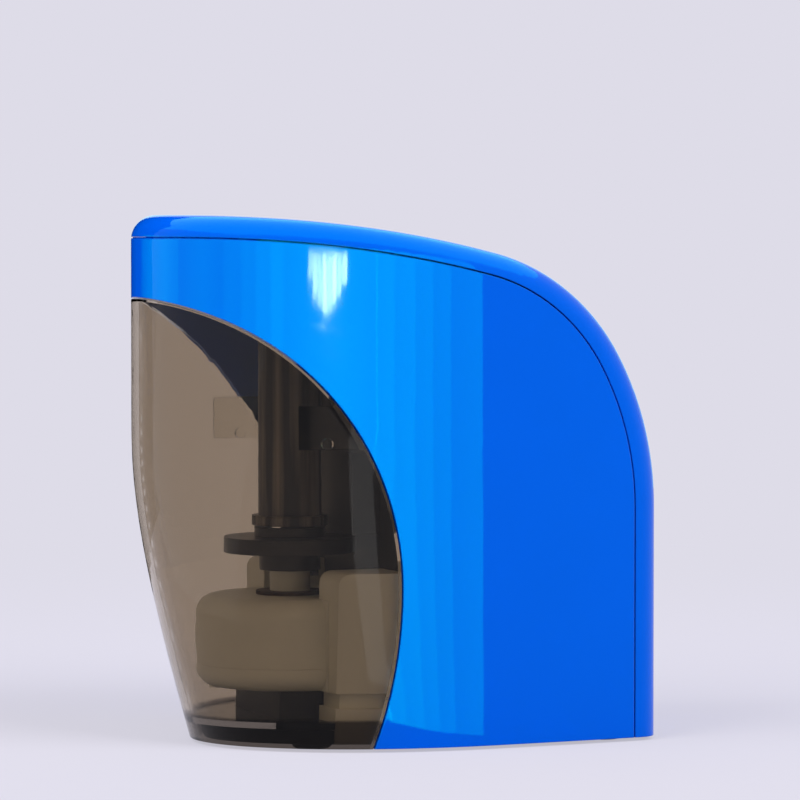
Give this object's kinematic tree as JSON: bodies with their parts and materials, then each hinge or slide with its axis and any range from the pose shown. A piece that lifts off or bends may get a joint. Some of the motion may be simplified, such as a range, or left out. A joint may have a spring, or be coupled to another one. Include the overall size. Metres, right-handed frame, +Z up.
{
  "type": "battery pencil sharpener",
  "caption": "Upright battery pencil sharpener with a domed glossy shell, top pencil hole, clear front shavings tray, geared motor cutter and battery bay.",
  "frame": {"origin": "bottom centre of the body, on the surface that the rubber feet stand on", "axes": "+Z up along the pencil, -Y towards the shavings tray, X across the width"},
  "size_m": [0.052, 0.082, 0.0858],
  "materials": {
    "blue_shell_plastic": "smooth gloss, moulded",
    "smoke_clear_plastic": "clear moulded, smoke tint",
    "cream_plastic": "satin, moulded",
    "black_plastic": "fine matt grain",
    "charcoal_plastic": "satin, moulded",
    "grey_plastic": "satin, moulded",
    "white_plastic": "natural acetal, satin",
    "steel_screw": "zinc plated",
    "steel_bright": "ground and polished",
    "spring_steel": "drawn wire, nickel plated",
    "motor_can_steel": "drawn, nickel plated",
    "contact_brass": "plain",
    "bush_bronze": "sintered",
    "foot_rubber": "matt",
    "cell_jacket": "printed film, plain",
    "wire_red": "extruded jacket",
    "wire_black": "extruded jacket",
    "wire_blue": "extruded jacket"
  },
  "bodies": {
    "casing": {"main_shell": "blue_shell_plastic", "top_rear_cover": "blue_shell_plastic", "base_plate": "black_plastic", "rubber_feet": "foot_rubber", "casing_screws": "steel_screw", "frame_screws": "steel_screw", "pencil_entry_ring": "black_plastic", "pencil_guide_tube": "black_plastic", "spindle_bush": "bush_bronze", "compound_gear_pin": "steel_bright", "motor_can": "motor_can_steel", "motor_end_cap": "white_plastic", "motor_terminals": "contact_brass", "motor_screws": "steel_screw", "gearbox_housing": "cream_plastic", "gearbox_lid": "cream_plastic", "gearbox_screws": "steel_screw", "chassis": "black_plastic", "chassis_screws": "steel_screw", "pedestal": "black_plastic", "return_spring": "spring_steel", "switch_leaf_terminal": "contact_brass", "switch_fixed_contact": "contact_brass", "battery_cage": "grey_plastic", "battery_cell_left": "cell_jacket", "battery_cell_right": "cell_jacket", "battery_positive_plate": "spring_steel", "battery_negative_contact": "spring_steel", "red_wire": "wire_red", "black_wire": "wire_black", "blue_wire": "wire_blue"},
    "shavings_tray_body": {"shavings_tray": "smoke_clear_plastic"},
    "switch_pin": {"push_pin": "white_plastic"},
    "cutter": {"cutter_head": "charcoal_plastic", "cutter_neck": "charcoal_plastic", "cutter_blade": "steel_bright", "blade_screw": "steel_screw", "cutter_spindle": "steel_bright", "output_gear": "white_plastic"},
    "reduction_gear": {"compound_gear": "white_plastic"},
    "motor_rotor": {"motor_pinion": "contact_brass", "motor_shaft": "steel_bright"},
    "switch_leaf": {"switch_moving_contact": "contact_brass"},
    "battery_door_body": {"battery_door": "black_plastic", "door_contact": "spring_steel"}
  },
  "joints": [
    {"name": "tray_slide", "type": "slide", "parent": "casing", "child": "shavings_tray_body", "axis": [0, -1, 0], "range_m": [0, 0.045]},
    {"name": "cutter_float", "type": "slide", "parent": "casing", "child": "switch_pin", "axis": [0, 0, 1], "range_m": [-0.0012, 0], "stiffness_N_per_m": 1200, "springref_m": 0.0005, "deforming": ["return_spring"]},
    {"name": "cutter_spin", "type": "hinge", "parent": "switch_pin", "child": "cutter", "pos_m": [0, -0.0143, 0.02], "axis": [0, 0, 1], "continuous": true},
    {"name": "compound_spin", "type": "hinge", "parent": "casing", "child": "reduction_gear", "pos_m": [-0.00145, -0.0039, 0.016], "axis": [0, 0, 1], "continuous": true},
    {"name": "motor_spin", "type": "hinge", "parent": "casing", "child": "motor_rotor", "pos_m": [0, 0.0065, 0.016], "axis": [0, 0, 1], "continuous": true},
    {"name": "switch_leaf_flex", "type": "hinge", "parent": "casing", "child": "switch_leaf", "pos_m": [0.0082, -0.0143, 0.00647], "axis": [0, 1, 0], "range_deg": [-17, 1]},
    {"name": "battery_door_hinge", "type": "hinge", "parent": "casing", "child": "battery_door_body", "pos_m": [0, 0.0329, 0.0021], "axis": [1, 0, 0], "range_deg": [0, 100]}
  ],
  "couplings": [
    {"joint": "compound_spin", "follows": "cutter_spin", "ratio": -2.5},
    {"joint": "motor_spin", "follows": "cutter_spin", "ratio": 8},
    {"joint": "switch_leaf_flex", "follows": "cutter_float", "rad_per_m": 238}
  ]
}
